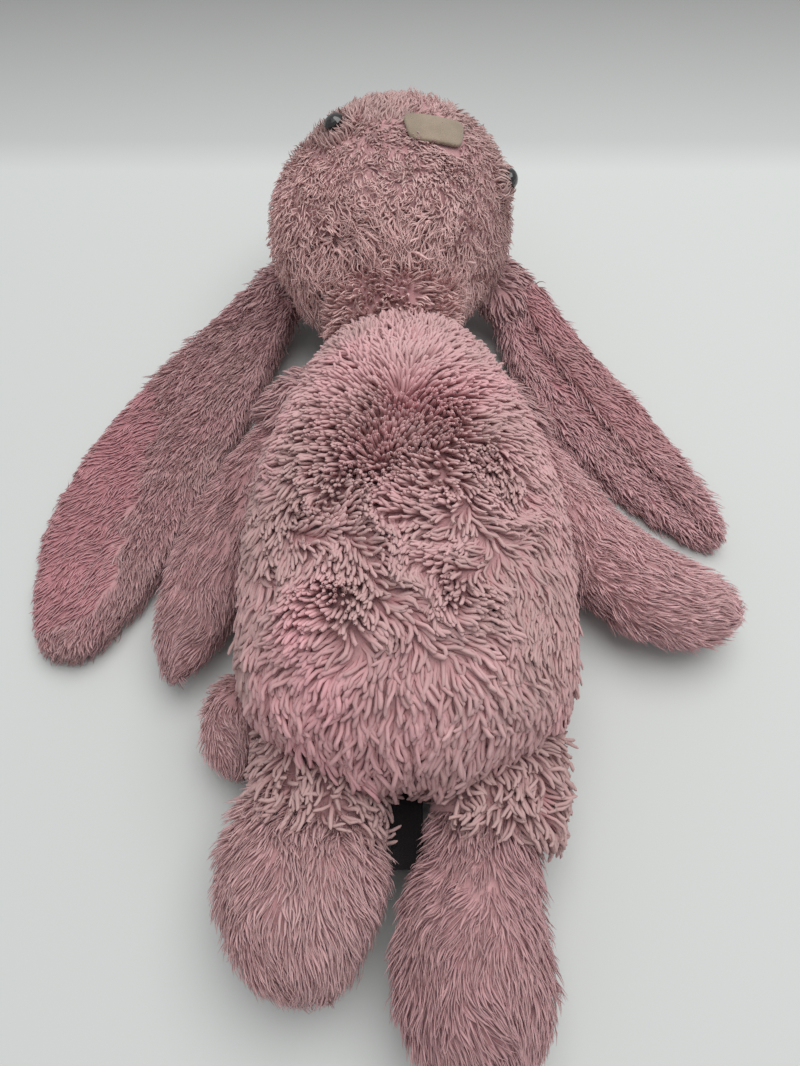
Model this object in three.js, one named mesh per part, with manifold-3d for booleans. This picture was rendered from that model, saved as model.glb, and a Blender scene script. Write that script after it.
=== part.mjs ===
// A plush rabbit lying on its back: a plump body, a ball head with a suede nose, two long lined
// ears, two floppy arms, two short legs with big feet, and a small round tail.
// Units are millimetres. +Z is up, +Y runs from the feet to the head, and z = 0 is the surface
// that the toy lies on. Left and right are as seen from above its feet. The origin is on that
// surface, under the middle of the toy.

import * as THREE from 'three';
import { mergeVertices } from 'three/addons/utils/BufferGeometryUtils.js';
import Module from 'manifold-3d';

const wasm = await Module();
wasm.setup();

// ---- Driving dimensions ----

const SKIN = 3.2;          // plush fabric, backing and pressed pile together
const GAP = 0.4;           // clearance between pieces that touch on the real toy
const FILL_INSET = SKIN + GAP;

const BODY = {
  path: [[-2, 64, 43], [1, 24, 40], [2.5, -17, 38], [2.5, -58, 37], [2.5, -98, 35]],
  wide: [37, 43, 48.5, 57, 82],
  tall: [25, 37, 42, 47, 56],
  around: 22,
  along: 14,
};
const BODY_SEAM_HEIGHT = 36;

const HEAD_CENTRE = new THREE.Vector3(-3, 114.5, 40.5);
const HEAD_HALF_WIDTH = 47;
const HEAD_HALF_LENGTH = 44;
const HEAD_HALF_DEPTH = 40.5;
const MUZZLE_PUSH = 7;                     // how far the muzzle stands out of the ball
const HEAD_LEAN = 0.1;                     // how far the crown is pushed aside, per millimetre of height
const FACE_YAW = 19;                       // degrees the face looks to the right
const FACE_PITCH = 5;                      // degrees the face looks down to the feet
const GUSSET_HALF_WIDTH = 17;
const GUSSET_CHIN_EDGE = -9;               // the gusset ends just under the nose

const NOSE_TOP_WIDTH = 22;
const NOSE_BOTTOM_WIDTH = 18;
const NOSE_HEIGHT = 12;
const NOSE_THICKNESS = 1.2;
const NOSE_TILT = 11;                      // degrees, so that its top edge runs straight across the toy
const EYE_RADIUS = 3.6;
const EYE_SIDE = 29;                       // eye centre beside the middle of the face
const EYE_ABOVE_NOSE = 1;
const SHANK_RADIUS = 1.4;
const SHANK_LENGTH = 12;
const WASHER_RADIUS = 6;
const WASHER_THICKNESS = 1.6;

const NECK_THREAD_PLACE = new THREE.Vector3(-3, 67, 43);
const NECK_THREAD_RING = 12;
const THREAD_RADIUS = 0.9;
const STITCH_RADIUS = 0.5;

const EAR_THICKNESS = 3.6;
const EAR_LINING = 2.4;
const EAR_STEPS = 12;
const LEFT_EAR = {
  path: [[-53, 102, 14], [-78, 62, 5], [-98.5, 15, 3.2], [-108, -26, 3.2], [-111.5, -50, 3.2]],
  half: [13, 21, 26, 24, 12],
};
const RIGHT_EAR = {
  path: [[47, 103, 14], [60.5, 74.5, 6], [79.5, 40.5, 4], [99, 11, 3.2], [112, -7, 3.2]],
  half: [11, 15, 17, 14, 6],
};

const LEFT_ARM = {
  path: [[-36, 44, 24], [-49, 14, 19], [-62, -22, 15], [-72, -61, 13]],
  wide: [11, 12.5, 14.5, 16, 16],
  tall: [11, 12.5, 13.5, 14, 14],
  around: 14,
  along: 10,
};
const RIGHT_ARM = {
  path: [[37, 40, 22], [53, 12, 16], [67, -16, 15], [84, -34, 16], [110, -40, 15]],
  wide: [11, 12, 14, 19, 24],
  tall: [11, 12, 13, 16, 19],
  around: 14,
  along: 12,
};
const ARM_SEAM_HEIGHT = 14;
const LEFT_LEG = {
  path: [[-22, -96, 20], [-26.5, -112, 20], [-25.5, -130, 20], [-19.5, -148, 19]],
  wide: [21, 23.5, 22.5, 21, 20],
  tall: [14, 17, 20, 21, 20],
  around: 14,
  along: 10,
};
const RIGHT_LEG = {
  path: [[27, -96, 20], [23, -113, 20], [18.5, -139, 20], [23, -167, 20]],
  wide: [20, 17, 19, 23, 26],
  tall: [14, 16, 19, 22, 21],
  around: 14,
  along: 11,
};
const LEG_SEAM_HEIGHT = 19;
const TAIL = {
  path: [[-47, -60, 13], [-50, -76, 13], [-48, -91, 13]],
  wide: [11, 10.5, 11],
  tall: [14, 14, 14],
  around: 14,
  along: 9,
};
const TAIL_SEAM_HEIGHT = 13;

const LABEL_WIDTH = 8;
const LABEL_THICKNESS = 0.8;
const LABEL_END = -111;
const LABEL_MIDDLE = 2;
const LABEL_HEIGHT = 20;
const LABEL_SEWN_IN = 30;  // how far its root reaches up beside the body before it is trimmed

// The places above are measured from a point near the middle of the toy. This moves the origin
// to exactly under the middle of the toy's box.
const ORIGIN_SHIFT = new THREE.Vector3(5.69, 4.33, 0);

// ---- Solids and meshes ----

const toy = new THREE.Group();
toy.position.copy(ORIGIN_SHIFT);

// Turns a closed three.js geometry into a solid that can be joined and cut.
function solid(geometry) {
  const bare = new THREE.BufferGeometry();
  bare.setAttribute('position', geometry.attributes.position);
  bare.setIndex(geometry.index);
  const merged = mergeVertices(bare, 1e-4);
  const position = merged.attributes.position;
  const index = Array.from(merged.index.array);
  const corner = [new THREE.Vector3(), new THREE.Vector3(), new THREE.Vector3()];
  const faces = [];
  let volume = 0;
  for (let i = 0; i < index.length; i += 3) {
    const face = index.slice(i, i + 3);
    if (new Set(face).size < 3) {
      continue;
    }
    face.forEach((vertex, k) => corner[k].fromBufferAttribute(position, vertex));
    volume += corner[0].dot(corner[1].clone().cross(corner[2]));
    faces.push(face);
  }
  const outward = volume < 0 ? faces.map(([a, b, c]) => [a, c, b]) : faces;
  return new wasm.Manifold(new wasm.Mesh({
    numProp: 3,
    vertProperties: new Float32Array(position.array),
    triVerts: new Uint32Array(outward.flat()),
  }));
}

function geometryOf(body) {
  const mesh = body.getMesh();
  const geometry = new THREE.BufferGeometry();
  geometry.setAttribute('position', new THREE.BufferAttribute(mesh.vertProperties, 3));
  geometry.setIndex(new THREE.BufferAttribute(mesh.triVerts, 1));
  geometry.computeVertexNormals();
  return geometry;
}

function add(name, body, material) {
  const mesh = new THREE.Mesh(geometryOf(body), material);
  mesh.name = name;
  toy.add(mesh);
}

function finish(color, roughness, metalness = 0) {
  return new THREE.MeshStandardMaterial({ color, roughness, metalness });
}

// A box between two corners, as a solid.
function block(low, high) {
  const size = high.map((value, axis) => value - low[axis]);
  const box = new THREE.BoxGeometry(...size);
  box.translate(...high.map((value, axis) => (value + low[axis]) / 2));
  return solid(box);
}

const FAR = 400;

// Everything at or above a height.
function above(height) {
  return block([-FAR, -FAR, height], [FAR, FAR, FAR]);
}

function below(height) {
  return block([-FAR, -FAR, -FAR], [FAR, FAR, height]);
}

// A value along a limb, given at even steps from its first end to its last.
function along(values, share) {
  const knots = values.map((value, step) => new THREE.Vector2(step, value));
  return new THREE.SplineCurve(knots).getPoint(share).y;
}

function curveThrough(points) {
  return new THREE.CatmullRomCurve3(points.map((point) => new THREE.Vector3(...point)));
}

// A stuffed form: ellipses strung along a curve and closed at both ends. An inset makes the same
// form smaller all round, for what lies under the fabric. It is flat where it rests at z = 0.
function stuffedForm(form, inset) {
  const sphere = new THREE.SphereGeometry(1, form.around, form.along);
  const position = sphere.attributes.position;
  const curve = curveThrough(form.path);
  const trim = inset / curve.getLength();
  const up = new THREE.Vector3(0, 0, 1);
  const point = new THREE.Vector3();
  for (let i = 0; i < position.count; i += 1) {
    point.fromBufferAttribute(position, i);
    const share = (1 - THREE.MathUtils.clamp(point.y, -1, 1)) / 2;
    const reach = trim + share * (1 - 2 * trim);
    const onCurve = THREE.MathUtils.clamp(reach, 0, 1);
    const forward = curve.getTangentAt(share);
    const place = curve.getPointAt(onCurve).addScaledVector(forward, (reach - onCurve) * curve.getLength());
    const side = forward.clone().cross(up).normalize();
    const lift = side.clone().cross(forward);
    place.addScaledVector(side, point.x * (along(form.wide, share) - inset));
    place.addScaledVector(lift, point.z * (along(form.tall, share) - inset));
    position.setXYZ(i, place.x, place.y, place.z);
  }
  return solid(sphere).intersect(above(inset));
}

// The fabric tube of a stuffed form, as one hollow solid.
function skinOf(form) {
  return stuffedForm(form, 0).subtract(stuffedForm(form, SKIN));
}

// ---- Materials ----

const plushOf = () => finish(0xb08a8c, 0.95);
const liningOf = () => finish(0x9a6b70, 0.95);
const fibreOf = () => finish(0xf0eeea, 1);
const pelletsOf = () => finish(0xd9d6cf, 0.7);
const threadOf = () => finish(0x8c6669, 0.9);
const suede = finish(0xab978c, 0.9);
const glossBlack = finish(0x14100f, 0.15);

// ---- Body ----

const bodySkin = skinOf(BODY);
const seamTop = BODY_SEAM_HEIGHT + GAP / 2;
const seamBottom = BODY_SEAM_HEIGHT - GAP / 2;
add('body_front_panel', bodySkin.intersect(above(seamTop)), plushOf());
add('body_back_panel', bodySkin.intersect(below(seamBottom)), plushOf());

// The pouch lies on the back panel, in a hollow in the underside of the filling.
const PELLET_POUCH = {
  path: [[3, -30, 16], [3, -50, 16], [3, -72, 16]],
  wide: [26, 28, 26],
  tall: [11, 12, 11],
  around: 14,
  along: 8,
};
const pouchSpace = stuffedForm(PELLET_POUCH, -GAP);
const bodyFill = stuffedForm({ ...BODY, around: 16, along: 10 }, FILL_INSET + 2);
add('body_stuffing', bodyFill.subtract(pouchSpace), fibreOf());
add('body_pellet_pouch', stuffedForm(PELLET_POUCH, 0), pelletsOf());

// ---- Head ----

const faceTurn = new THREE.Matrix4().makeRotationY(THREE.MathUtils.degToRad(FACE_YAW))
  .multiply(new THREE.Matrix4().makeRotationX(THREE.MathUtils.degToRad(FACE_PITCH)));
const lean = new THREE.Matrix4().makeShear(0, 0, HEAD_LEAN, 0, 0, 0);
const headPlace = new THREE.Matrix4().makeTranslation(HEAD_CENTRE).multiply(lean).multiply(faceTurn);

// The place on the head's skin, or a little over it, in a direction from the head's centre.
function headSurface(direction, lift = 0) {
  const muzzle = MUZZLE_PUSH * THREE.MathUtils.smoothstep(direction.z, 0.45, 1);
  return new THREE.Vector3(
    direction.x * (HEAD_HALF_WIDTH + muzzle + lift),
    direction.y * (HEAD_HALF_LENGTH + muzzle + lift),
    direction.z * (HEAD_HALF_DEPTH + muzzle + lift),
  );
}

// The head in its own frame: +Z out of the nose, +Y to the crown, +X to its right-hand side.
function headForm(inset, around = 20, rings = 14) {
  const sphere = new THREE.SphereGeometry(1, around, rings);
  sphere.rotateX(Math.PI / 2);
  const position = sphere.attributes.position;
  const point = new THREE.Vector3();
  for (let i = 0; i < position.count; i += 1) {
    point.fromBufferAttribute(position, i);
    position.setXYZ(i, ...headSurface(point, -inset).toArray());
  }
  sphere.applyMatrix4(headPlace);
  return solid(sphere).intersect(above(inset));
}

// A box in the head's own frame.
function headBlock(low, high) {
  return block(low, high).transform(headPlace.toArray());
}

const headSkin = headForm(0).subtract(headForm(SKIN));
const gussetStrip = headBlock([-GUSSET_HALF_WIDTH, GUSSET_CHIN_EDGE, -FAR], [GUSSET_HALF_WIDTH, FAR, FAR]);
const gussetRoom = headBlock(
  [-GUSSET_HALF_WIDTH - GAP, GUSSET_CHIN_EDGE - GAP, -FAR],
  [GUSSET_HALF_WIDTH + GAP, FAR, FAR],
);
const headSides = headSkin.subtract(gussetRoom);

// Eyes sit on the skin, and their shanks go through it to a washer inside.
const eyes = [['left', -1], ['right', 1]].map(([side, sign]) => {
  const across = sign * EYE_SIDE / HEAD_HALF_WIDTH;
  const rise = EYE_ABOVE_NOSE / HEAD_HALF_LENGTH;
  const seat = headSurface(new THREE.Vector3(across, rise, Math.sqrt(1 - across ** 2 - rise ** 2)), 1);
  const out = seat.clone().normalize();
  const turn = new THREE.Quaternion().setFromUnitVectors(new THREE.Vector3(0, 1, 0), out);
  const place = headPlace.clone().multiply(new THREE.Matrix4().compose(seat, turn, new THREE.Vector3(1, 1, 1)));
  return { side, place };
});

function eyePiece(place, radius, low, high, segments = 10) {
  const disc = new THREE.CylinderGeometry(radius, radius, high - low, segments);
  disc.translate(0, (high + low) / 2, 0);
  disc.applyMatrix4(place);
  return solid(disc);
}

const BEAD_LIFT = 1.9;         // middle of the bead over the skin
const BEAD_FLATNESS = 0.62;    // its thickness as a share of its width
const WASHER_DEPTH = 4.4;      // from the inside of the skin to the washer
const BEAD_SEAT = 0.6;         // how deep the bead sits in the pile
const washerTop = -SKIN - WASHER_DEPTH;
const headFill = headForm(FILL_INSET + 1.2, 16, 10);
let headFillCut = headFill;
let sidePanels = headSides;
eyes.forEach(({ side, place }) => {
  const bead = new THREE.SphereGeometry(EYE_RADIUS, 12, 7);
  bead.scale(1, BEAD_FLATNESS, 1);
  bead.translate(0, BEAD_LIFT, 0);
  bead.applyMatrix4(place);
  const shank = eyePiece(place, SHANK_RADIUS, -SHANK_LENGTH, BEAD_LIFT, 8);
  add(`${side}_eye`, solid(bead).add(shank), glossBlack.clone());
  const washer = eyePiece(place, WASHER_RADIUS, washerTop - WASHER_THICKNESS, washerTop);
  const washerHole = eyePiece(place, SHANK_RADIUS + GAP, -2 * SHANK_LENGTH, SHANK_LENGTH, 8);
  add(`${side}_eye_washer`, washer.subtract(washerHole), finish(0xe8e6e0, 0.5));
  sidePanels = sidePanels.subtract(eyePiece(place, SHANK_RADIUS + GAP, -SHANK_LENGTH, SHANK_LENGTH, 8));
  sidePanels = sidePanels.subtract(eyePiece(place, EYE_RADIUS + GAP, -BEAD_SEAT, 2 * SKIN));
  headFillCut = headFillCut.subtract(eyePiece(place, WASHER_RADIUS + 1, -SHANK_LENGTH - 1, SHANK_LENGTH));
});

const leftHalf = headBlock([-FAR, -FAR, -FAR], [-GAP / 2, FAR, FAR]);
const rightHalf = headBlock([GAP / 2, -FAR, -FAR], [FAR, FAR, FAR]);
add('head_left_panel', sidePanels.intersect(leftHalf), plushOf());
add('head_right_panel', sidePanels.intersect(rightHalf), plushOf());
add('head_gusset', headSkin.intersect(gussetStrip), plushOf());
add('head_stuffing', headFillCut, fibreOf());

// The nose is a suede patch on the gusset, wider at its top edge, with rounded corners.
function noseOutline() {
  const top = NOSE_TOP_WIDTH / 2;
  const bottom = NOSE_BOTTOM_WIDTH / 2;
  const low = -NOSE_HEIGHT / 2;
  const high = NOSE_HEIGHT / 2;
  const shape = new THREE.Shape();
  shape.moveTo(-bottom + 2, low);
  shape.lineTo(bottom - 2, low);
  shape.quadraticCurveTo(bottom, low, bottom + 1, low + 3);
  shape.lineTo(top, high - 3);
  shape.quadraticCurveTo(top, high, top - 3, high);
  shape.lineTo(-top + 3, high);
  shape.quadraticCurveTo(-top, high, -top, high - 3);
  shape.lineTo(-bottom - 1, low + 3);
  shape.quadraticCurveTo(-bottom, low, -bottom + 2, low);
  return shape;
}
const noseCutter = new THREE.ExtrudeGeometry(noseOutline(), { depth: 60, bevelEnabled: false, curveSegments: 3 });
noseCutter.rotateZ(THREE.MathUtils.degToRad(NOSE_TILT));
noseCutter.translate(0, 0, 20);
noseCutter.applyMatrix4(headPlace);
const overSkin = headForm(-GAP - NOSE_THICKNESS).subtract(headForm(-GAP));
add('nose_patch', overSkin.intersect(solid(noseCutter)), suede);

// ---- Neck thread ----

const neckRing = new THREE.TorusGeometry(NECK_THREAD_RING, THREAD_RADIUS, 5, 18);
neckRing.rotateX(Math.PI / 2);
neckRing.translate(...NECK_THREAD_PLACE.toArray());
add('neck_gather_thread', solid(neckRing), threadOf());

// ---- Ears ----

// A section of the ear, given across it from -1 to 1 and up it in millimetres, is swept along the
// ear's curve and spread to the ear's width there.
function earSweep(ear, outline) {
  const shape = new THREE.Shape(outline.map(([across, height]) => new THREE.Vector2(across, height)));
  const slab = new THREE.ExtrudeGeometry(shape, { depth: 1, steps: EAR_STEPS, bevelEnabled: false });
  const position = slab.attributes.position;
  const curve = curveThrough(ear.path);
  const up = new THREE.Vector3(0, 0, 1);
  const point = new THREE.Vector3();
  for (let i = 0; i < position.count; i += 1) {
    point.fromBufferAttribute(position, i);
    const share = point.z;
    const place = curve.getPointAt(share);
    const forward = curve.getTangentAt(share);
    const side = forward.clone().cross(up).normalize();
    place.addScaledVector(side, point.x * along(ear.half, share));
    place.z += point.y - earBase;
    position.setXYZ(i, place.x, place.y, place.z);
  }
  return solid(slab);
}

const liningLow = EAR_THICKNESS + GAP;
const liningHigh = liningLow + EAR_LINING;
const flapLow = liningHigh + GAP;
const flapHigh = flapLow + EAR_THICKNESS;
const earBase = 3;

// The furry outer panel lies underneath, and its outside edge is folded over on top of the lining.
function earPanelOutline(side) {
  return [
    [-1, 1], [-0.9, 0], [0.9, 0], [1, 1.5], [1, flapHigh - 1.5], [0.9, flapHigh], [0.1, flapHigh],
    [0.05, flapLow], [0.8, flapLow], [0.8, EAR_THICKNESS], [-0.9, EAR_THICKNESS], [-1, EAR_THICKNESS - 1],
  ].map(([across, height]) => [side * across, height]);
}

function liningOutline(side) {
  return [[-0.86, liningLow], [0.76, liningLow], [0.76, liningHigh], [-0.86, liningHigh]]
    .map(([across, height]) => [side * across, height]);
}

const LEFT_EAR_FOLD = -1;      // folded along its edge next to the arm
const RIGHT_EAR_FOLD = -1;     // folded along its edge away from the body
[['left', LEFT_EAR, LEFT_EAR_FOLD], ['right', RIGHT_EAR, RIGHT_EAR_FOLD]].forEach(([side, ear, fold]) => {
  add(`${side}_ear_outer_panel`, earSweep(ear, earPanelOutline(fold)), plushOf());
  add(`${side}_ear_lining`, earSweep(ear, liningOutline(fold)), liningOf());
});

// ---- Arms and legs ----

function limb(name, form, seamHeight) {
  const skin = skinOf(form);
  add(`${name}_top_panel`, skin.intersect(above(seamHeight + GAP / 2)), plushOf());
  add(`${name}_under_panel`, skin.intersect(below(seamHeight - GAP / 2)), plushOf());
  add(`${name}_stuffing`, stuffedForm({ ...form, around: 10, along: 8 }, FILL_INSET + 1), fibreOf());
}

limb('left_arm', LEFT_ARM, ARM_SEAM_HEIGHT);
limb('right_arm', RIGHT_ARM, ARM_SEAM_HEIGHT);
limb('left_leg', LEFT_LEG, LEG_SEAM_HEIGHT);
limb('right_leg', RIGHT_LEG, LEG_SEAM_HEIGHT);
limb('tail', TAIL, TAIL_SEAM_HEIGHT);

// ---- Stitches and label ----

// A thread along a curve.
function thread(points, radius, steps) {
  const section = new THREE.Shape();
  section.absarc(0, 0, radius, 0, 2 * Math.PI);
  const extrudePath = curveThrough(points);
  return solid(new THREE.ExtrudeGeometry(section, { extrudePath, steps, curveSegments: 3, bevelEnabled: false }));
}

// The mouth is one stitched line that curves down from under the nose to the left cheek.
const MOUTH_LIFT = 1.6;
const MOUTH_POINTS = 7;
const mouth = Array.from({ length: MOUTH_POINTS }, (_, step) => {
  const share = step / (MOUTH_POINTS - 1);
  const across = 0.06 - 0.46 * share;
  const down = -0.3 - 0.13 * Math.sin(Math.PI * share);
  const direction = new THREE.Vector3(across, down, Math.sqrt(1 - across ** 2 - down ** 2));
  return headSurface(direction, MOUTH_LIFT).applyMatrix4(headPlace).toArray();
});
add('mouth_stitch', thread(mouth, STITCH_RADIUS, 14), threadOf());

// The opening that the body was stuffed through is closed by a zigzag of thread in its left seam.
const CLOSING_FROM = 26;
const CLOSING_STEP = -4.5;
const CLOSING_STITCHES = 9;
const CLOSING_LIFT = 1.6;
const closing = Array.from({ length: CLOSING_STITCHES }, (_, step) => {
  const y = CLOSING_FROM + CLOSING_STEP * step;
  const share = (BODY.path[0][1] - y) / (BODY.path[0][1] - BODY.path[4][1]);
  const ring = 2 * Math.sqrt(share * (1 - share));
  const middle = curveThrough(BODY.path).getPointAt(share);
  const x = middle.x - along(BODY.wide, share) * ring - CLOSING_LIFT;
  return [x, y, BODY_SEAM_HEIGHT + (step % 2 === 0 ? 1.5 : -1.5)];
});
add('closing_stitch', thread(closing, STITCH_RADIUS, 24), threadOf());

// A blank satin label is sewn into the body's end between the legs, and stands out between them.
const labelLow = [LABEL_MIDDLE - LABEL_WIDTH / 2, LABEL_END, LABEL_HEIGHT];
const labelHigh = [
  LABEL_MIDDLE + LABEL_WIDTH / 2,
  BODY.path[4][1] + LABEL_SEWN_IN,
  LABEL_HEIGHT + LABEL_THICKNESS,
];
const label = block(labelLow, labelHigh).subtract(stuffedForm(BODY, -GAP));
add('care_label', label, finish(0x2a2426, 0.6));

export default toy;
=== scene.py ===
"""A stuffed bunny rabbit lying on its back, head turned up, with every soft part covered in real pile.

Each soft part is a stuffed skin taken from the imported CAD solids, and the pile is grown on it as
short tapered tufts that follow a combed direction. Lengths inside this script are in millimetres
and become metres when a mesh is made.
"""
import math

import bpy
import numpy as np
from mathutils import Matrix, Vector
from mathutils.bvhtree import BVHTree
from mathutils.kdtree import KDTree


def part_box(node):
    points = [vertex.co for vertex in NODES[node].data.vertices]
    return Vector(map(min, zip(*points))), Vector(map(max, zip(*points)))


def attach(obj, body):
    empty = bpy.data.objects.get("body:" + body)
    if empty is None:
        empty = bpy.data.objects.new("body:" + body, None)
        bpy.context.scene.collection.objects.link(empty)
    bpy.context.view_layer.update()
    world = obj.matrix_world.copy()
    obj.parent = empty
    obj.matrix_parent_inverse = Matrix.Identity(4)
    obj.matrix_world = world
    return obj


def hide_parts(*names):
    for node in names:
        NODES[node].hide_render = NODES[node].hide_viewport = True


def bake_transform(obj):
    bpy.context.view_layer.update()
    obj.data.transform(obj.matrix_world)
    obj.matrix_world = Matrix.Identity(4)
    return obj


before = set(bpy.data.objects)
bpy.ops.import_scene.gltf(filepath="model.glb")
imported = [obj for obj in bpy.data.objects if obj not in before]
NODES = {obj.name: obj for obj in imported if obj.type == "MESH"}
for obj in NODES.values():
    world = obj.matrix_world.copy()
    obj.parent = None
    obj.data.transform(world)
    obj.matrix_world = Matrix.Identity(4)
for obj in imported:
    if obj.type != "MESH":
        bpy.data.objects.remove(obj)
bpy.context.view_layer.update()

MM = 0.001
SEED = 4127
SHIFT = np.array([5.69, 4.33, 0.0])  # from the toy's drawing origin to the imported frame, mm

# ---------------------------------------------------------------- camera, floor and light

SENSOR = 36.0  # the picture's taller side on the sensor
LENS = 27.0507
CAMERA_AT = (5.69, -143.7, 255.0)
CAMERA_PITCH = 60  # degrees below the horizon


def make_camera():
    data = bpy.data.cameras.new("camera")
    data.sensor_width = SENSOR
    data.lens = LENS
    data.clip_start = 0.01
    camera = bpy.data.objects.new("camera", data)
    camera.location = Vector(CAMERA_AT) * MM
    camera.rotation_euler = (math.radians(90 - CAMERA_PITCH), 0, 0)
    bpy.context.scene.collection.objects.link(camera)
    bpy.context.scene.camera = camera


def make_light(name, at, toward, size, power, colour):
    data = bpy.data.lights.new(name, "AREA")
    data.shape = "DISK"
    data.size = size
    data.energy = power
    data.color = colour
    light = bpy.data.objects.new(name, data)
    light.location = at
    light.rotation_euler = (Vector(toward) - Vector(at)).to_track_quat("-Z", "Y").to_euler()
    bpy.context.scene.collection.objects.link(light)


# ---------------------------------------------------------------- node materials


def node(tree, kind, **settings):
    made = tree.nodes.new(kind)
    for key, value in settings.items():
        setattr(made, key, value)
    return made


def mixed(tree, factor, first, second, blend="MIX"):
    """A colour mix. Each of factor, first and second is a socket or a plain value."""
    made = node(tree, "ShaderNodeMix", data_type="RGBA", blend_type=blend)
    for socket, value in ((made.inputs[0], factor), (made.inputs[6], first), (made.inputs[7], second)):
        if isinstance(value, bpy.types.NodeSocket):
            tree.links.new(value, socket)
        else:
            socket.default_value = value
    return made.outputs[2]


def noise(tree, scale, detail=3.0, roughness=0.6, vector=None):
    made = node(tree, "ShaderNodeTexNoise")
    made.inputs["Scale"].default_value = scale
    made.inputs["Detail"].default_value = detail
    made.inputs["Roughness"].default_value = roughness
    tree.links.new(vector or node(tree, "ShaderNodeTexCoord").outputs["Object"], made.inputs["Vector"])
    return made.outputs["Fac"]


def spread_between(tree, value, low, high, to_low=0.0, to_high=1.0):
    made = node(tree, "ShaderNodeMapRange")
    tree.links.new(value, made.inputs["Value"])
    for key, number in (("From Min", low), ("From Max", high), ("To Min", to_low), ("To Max", to_high)):
        made.inputs[key].default_value = number
    return made.outputs["Result"]


def new_material(name):
    made = bpy.data.materials.new(name)
    made.use_nodes = True
    return made, made.node_tree, made.node_tree.nodes["Principled BSDF"]


def set_bump(tree, shader, height, strength, distance):
    bump = node(tree, "ShaderNodeBump")
    bump.inputs["Strength"].default_value = strength
    bump.inputs["Distance"].default_value = distance
    tree.links.new(height, bump.inputs["Height"])
    tree.links.new(bump.outputs["Normal"], shader.inputs["Normal"])


def srgb(red, green, blue):
    """A linear colour from 0 to 255 display values."""
    shares = [value / 255 for value in (red, green, blue)]
    return [s / 12.92 if s <= 0.04045 else ((s + 0.055) / 1.055) ** 2.4 for s in shares] + [1.0]


def pile_material(name, root, tip, wear_and_shade, bright, twist, sheen=0.15):
    """Pile colour runs from a darker root, painted shade deep in the pile, to the tip, varies from tuft to
    tuft, and turns to the grey colour or the bright one where the stored attribute says so: red is the share
    along the tuft, green a random share, blue how much grey wear and painted shade, alpha how bright, in
    places painted light. Fine fibres run along each tuft, and twist winds them round it."""
    made, tree, shader = new_material(name)
    stored = node(tree, "ShaderNodeAttribute", attribute_name="pile")
    parts = node(tree, "ShaderNodeSeparateColor")
    tree.links.new(stored.outputs["Color"], parts.inputs["Color"])
    # The blue share, here called wear, mixes in the grey colour: grey wear, and in places painted shade.
    along, chance, wear = parts.outputs
    body = mixed(tree, wear, tip, wear_and_shade)
    body = mixed(tree, stored.outputs["Alpha"], body, bright)
    patches = spread_between(tree, noise(tree, 70), 0.35, 0.7, 0.0, 0.35)
    body = mixed(tree, patches, body, wear_and_shade)
    lightness = spread_between(tree, chance, 0, 1, 0.92, 1.07)
    scaled = node(tree, "ShaderNodeHueSaturation")
    tree.links.new(lightness, scaled.inputs["Value"])
    tree.links.new(body, scaled.inputs["Color"])
    # Toward the root the colour turns to the darker root colour: painted shade deep in the pile.
    depth = spread_between(tree, along, 0.05, 0.6)
    colour = mixed(tree, depth, root, scaled.outputs["Color"])
    strand = node(tree, "ShaderNodeSeparateXYZ")
    spun = node(tree, "ShaderNodeAttribute", attribute_name="strand")
    tree.links.new(spun.outputs["Vector"], strand.inputs[0])
    around, lengthways, number = strand.outputs
    wound = node(tree, "ShaderNodeMath", operation="MULTIPLY_ADD")
    tree.links.new(lengthways, wound.inputs[0])
    wound.inputs[1].default_value = twist
    tree.links.new(around, wound.inputs[2])
    place = node(tree, "ShaderNodeCombineXYZ")
    tree.links.new(wound.outputs[0], place.inputs["X"])
    tree.links.new(spread_between(tree, lengthways, 0, 1, 0, 0.12), place.inputs["Y"])
    tree.links.new(number, place.inputs["Z"])
    fibres = noise(tree, 7, detail=2.0, vector=place.outputs[0])
    # The streaks along the fibres turn toward the darker root colour: painted shade between the fibres.
    streaks = spread_between(tree, fibres, 0.3, 0.7, 0.0, 0.3)
    tree.links.new(mixed(tree, streaks, colour, root), shader.inputs["Base Color"])
    tree.links.new(spread_between(tree, fibres, 0.3, 0.7, 0.78, 0.98), shader.inputs["Roughness"])
    set_bump(tree, shader, fibres, 0.5, 0.0003)
    shader.inputs["Specular IOR Level"].default_value = 0.15
    shader.inputs["Sheen Weight"].default_value = sheen
    shader.inputs["Sheen Roughness"].default_value = 0.5
    shader.inputs["Sheen Tint"].default_value = srgb(235, 205, 205)
    return made


def fabric_material(name, dark, light, weave=900, sheen=0.2):
    made, tree, shader = new_material(name)
    coarse = noise(tree, 60)
    fine = noise(tree, weave, detail=4.0)
    colour = mixed(tree, spread_between(tree, coarse, 0.35, 0.65), dark, light)
    colour = mixed(tree, spread_between(tree, fine, 0.3, 0.7, 0.0, 0.45), colour, dark)
    tree.links.new(colour, shader.inputs["Base Color"])
    tree.links.new(spread_between(tree, fine, 0.2, 0.8, 0.75, 1.0), shader.inputs["Roughness"])
    set_bump(tree, shader, fine, 0.6, 0.0006)
    shader.inputs["Specular IOR Level"].default_value = 0.15
    shader.inputs["Sheen Weight"].default_value = sheen
    return made


def hard_material(name, dark, light, rough_low, rough_high, coat=0.0):
    made, tree, shader = new_material(name)
    wear = noise(tree, 400, detail=4.0)
    colour = mixed(tree, spread_between(tree, wear, 0.4, 0.7), dark, light)
    tree.links.new(colour, shader.inputs["Base Color"])
    tree.links.new(spread_between(tree, wear, 0.3, 0.8, rough_low, rough_high), shader.inputs["Roughness"])
    set_bump(tree, shader, wear, 0.05, 0.0002)
    shader.inputs["Coat Weight"].default_value = coat
    shader.inputs["Coat Roughness"].default_value = 0.08
    return made


# ---------------------------------------------------------------- skins


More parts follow.
